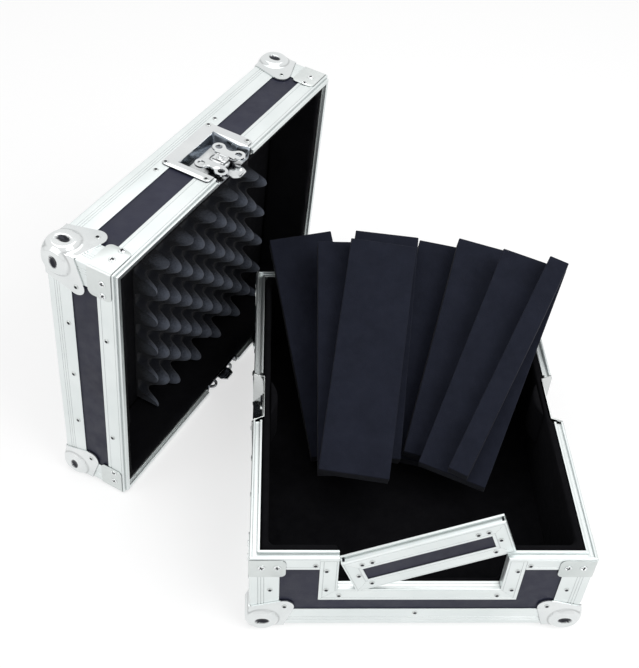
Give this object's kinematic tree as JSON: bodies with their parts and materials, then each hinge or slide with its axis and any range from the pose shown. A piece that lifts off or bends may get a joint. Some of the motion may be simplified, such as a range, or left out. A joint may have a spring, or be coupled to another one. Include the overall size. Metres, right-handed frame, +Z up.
{
  "type": "flight case",
  "caption": "Laminated board flight case edged in aluminium with ball corners, lift-off lid with recessed butterfly latches, front insert and loose foam bars",
  "frame": {"origin": "bottom centre of the overall box, on the floor", "axes": "+Z up, -Y towards the front opening of the base, the lid stands on the -X side"},
  "size_m": [0.6902, 0.6913, 0.4126],
  "materials": {
    "laminate_black": "9 mm board with a matt black laminate face",
    "aluminium_edge": "silver anodised extrusion, fine drawn grain",
    "chrome_steel": "pressed steel, bright chrome",
    "zinc_steel": "pressed steel, grey zinc",
    "nickel_steel": "pressed steel, bright nickel",
    "foam_black": "closed-cell foam, near black, matt",
    "lining_foam": "thin closed-cell foam, black, matt",
    "egg_crate_foam": "open-cell profiled foam, charcoal",
    "grip_rubber": "moulded rubber, matt black"
  },
  "bodies": {
    "base": {"base_bottom_panel": "laminate_black", "base_front_panel": "laminate_black", "base_back_panel": "laminate_black", "base_left_panel": "laminate_black", "base_right_panel": "laminate_black", "base_corner_posts": "aluminium_edge", "base_bottom_edging": "aluminium_edge", "base_rim_sides": "aluminium_edge", "base_rim_front": "aluminium_edge", "base_rim_back": "aluminium_edge", "opening_frame": "aluminium_edge", "base_ball_corners": "chrome_steel", "base_rim_braces": "zinc_steel", "left_catch_dish": "nickel_steel", "right_catch_dish": "nickel_steel", "left_catch_keeper": "zinc_steel", "right_catch_keeper": "zinc_steel", "base_wall_lining": "lining_foam", "base_floor_lining": "lining_foam", "catch_cover_pads": "lining_foam", "handle_tray": "nickel_steel", "handle_pins": "zinc_steel"},
    "handle": {"handle_bail": "nickel_steel", "handle_grip": "grip_rubber"},
    "insert": {"insert_panel": "laminate_black", "insert_frame": "aluminium_edge", "insert_rim": "aluminium_edge"},
    "lid": {"lid_top_panel": "laminate_black", "lid_front_panel": "laminate_black", "lid_back_panel": "laminate_black", "lid_left_panel": "laminate_black", "lid_right_panel": "laminate_black", "lid_corner_posts": "aluminium_edge", "lid_top_edging": "aluminium_edge", "lid_rim_sides": "aluminium_edge", "lid_rim_ends": "aluminium_edge", "lid_ball_corners": "chrome_steel", "lid_rim_braces": "zinc_steel", "lid_wall_lining": "lining_foam", "lid_top_lining": "lining_foam", "lid_egg_crate_foam": "egg_crate_foam", "lower_latch_dish": "nickel_steel", "upper_latch_dish": "nickel_steel"},
    "foam_bar_1": {"foam_bar_1": "foam_black"},
    "foam_bar_2": {"foam_bar_2": "foam_black"},
    "foam_bar_3": {"foam_bar_3": "foam_black"},
    "foam_bar_4": {"foam_bar_4": "foam_black"},
    "foam_bar_5": {"foam_bar_5": "foam_black"},
    "foam_bar_6": {"foam_bar_6": "foam_black"},
    "foam_bar_7": {"foam_bar_7": "foam_black"},
    "foam_bar_8": {"foam_bar_8": "foam_black"},
    "lower_hook": {"lower_latch_hook": "nickel_steel"},
    "lower_hub": {"lower_latch_hub": "nickel_steel"},
    "lower_front_wing": {"lower_latch_front_wing": "nickel_steel"},
    "lower_back_wing": {"lower_latch_back_wing": "nickel_steel"},
    "upper_hook": {"upper_latch_hook": "nickel_steel"},
    "upper_hub": {"upper_latch_hub": "nickel_steel"},
    "upper_front_wing": {"upper_latch_front_wing": "nickel_steel"},
    "upper_back_wing": {"upper_latch_back_wing": "nickel_steel"}
  },
  "joints": [
    {"name": "lid_draw_away", "type": "slide", "parent": "base", "child": "lid", "axis": [-0.8704, 0.4924, 0], "range_m": [0, 0.3]},
    {"name": "insert_lift", "type": "slide", "parent": "base", "child": "insert", "axis": [0, 0, 1], "range_m": [0, 0.12]},
    {"name": "handle_swing", "type": "hinge", "parent": "base", "child": "handle", "pos_m": [0.1124, 0.15534, 0.099], "axis": [1, 0, 0], "range_deg": [0, 90]},
    {"name": "foam_bar_1_draw", "type": "slide", "parent": "base", "child": "foam_bar_1", "axis": [-0.1822, 0.8947, 0.4077], "range_m": [0, 0.05]},
    {"name": "foam_bar_2_draw", "type": "slide", "parent": "base", "child": "foam_bar_2", "axis": [0.2062, 0.8904, 0.4058], "range_m": [0, 0.15]},
    {"name": "foam_bar_3_draw", "type": "slide", "parent": "base", "child": "foam_bar_3", "axis": [0.1149, 0.9039, 0.4119], "range_m": [0, 0.15]},
    {"name": "foam_bar_4_draw", "type": "slide", "parent": "base", "child": "foam_bar_4", "axis": [0.2807, 0.8734, 0.398], "range_m": [0, 0.15]},
    {"name": "foam_bar_5_draw", "type": "slide", "parent": "base", "child": "foam_bar_5", "axis": [0.0052, 0.9099, 0.4147], "range_m": [0, 0.14]},
    {"name": "foam_bar_6_draw", "type": "slide", "parent": "base", "child": "foam_bar_6", "axis": [0.3966, 0.8172, 0.4182], "range_m": [0, 0.15]},
    {"name": "foam_bar_7_draw", "type": "slide", "parent": "base", "child": "foam_bar_7", "axis": [0.1444, 0.9004, 0.4103], "range_m": [0, 0.15]},
    {"name": "foam_bar_8_draw", "type": "slide", "parent": "base", "child": "foam_bar_8", "axis": [0.4638, 0.7847, 0.4112], "range_m": [0, 0.15]},
    {"name": "lower_hub_turn", "type": "hinge", "parent": "lid", "child": "lower_hub", "pos_m": [-0.15638, 0.08942, 0.00266], "axis": [-0.0631, 0.0357, -0.9974], "range_deg": [0, 180]},
    {"name": "lower_hook_draw", "type": "slide", "parent": "lid", "child": "lower_hook", "axis": [-0.8681, 0.4911, 0.0725], "range_m": [0, 0.008]},
    {"name": "lower_front_wing_fold", "type": "hinge", "parent": "lower_hub", "child": "lower_front_wing", "pos_m": [-0.15965, 0.08322, 0.0056], "axis": [0.8681, -0.4911, -0.0725], "range_deg": [0, 88]},
    {"name": "lower_back_wing_fold", "type": "hinge", "parent": "lower_hub", "child": "lower_back_wing", "pos_m": [-0.15275, 0.09541, 0.0056], "axis": [-0.8681, 0.4911, 0.0725], "range_deg": [0, 88]},
    {"name": "upper_hub_turn", "type": "hinge", "parent": "lid", "child": "upper_hub", "pos_m": [-0.13113, 0.07513, 0.4016], "axis": [0.0631, -0.0357, 0.9974], "range_deg": [0, 180]},
    {"name": "upper_hook_draw", "type": "slide", "parent": "lid", "child": "upper_hook", "axis": [-0.8681, 0.4911, 0.0725], "range_m": [0, 0.008]},
    {"name": "upper_front_wing_fold", "type": "hinge", "parent": "upper_hub", "child": "upper_front_wing", "pos_m": [-0.12787, 0.08133, 0.39866], "axis": [0.8681, -0.4911, -0.0725], "range_deg": [0, 88]},
    {"name": "upper_back_wing_fold", "type": "hinge", "parent": "upper_hub", "child": "upper_back_wing", "pos_m": [-0.13477, 0.06915, 0.39866], "axis": [-0.8681, 0.4911, 0.0725], "range_deg": [0, 88]}
  ],
  "couplings": [
    {"joint": "lower_hook_draw", "follows": "lower_hub_turn", "m_per_rad": 0.002546},
    {"joint": "upper_hook_draw", "follows": "upper_hub_turn", "m_per_rad": 0.002546}
  ]
}
